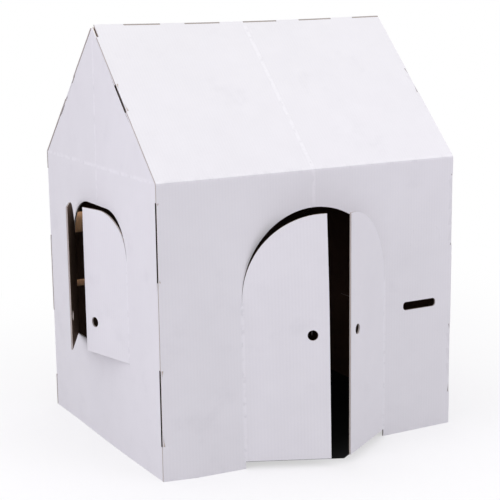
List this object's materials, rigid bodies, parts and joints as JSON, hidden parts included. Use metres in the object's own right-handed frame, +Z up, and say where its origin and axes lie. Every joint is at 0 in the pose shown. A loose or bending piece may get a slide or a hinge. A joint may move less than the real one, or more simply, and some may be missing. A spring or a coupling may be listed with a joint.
{
  "type": "cardboard playhouse",
  "caption": "White corrugated card playhouse with a gabled roof, arched double door, shuttered window and letter slot.",
  "frame": {"origin": "middle of the footprint of everything, open door leaves, shutter and flaps included, on the floor", "axes": "+Z up, door towards -Y, window with the open shutters towards -X"},
  "size_m": [0.889, 0.8066, 1.029],
  "materials": {
    "card": "matt white liner outside, brown liner inside"
  },
  "bodies": {
    "root": {"front_sheet": "card", "back_sheet": "card", "left_gable": "card", "right_gable": "card"}
  },
  "joints": []
}
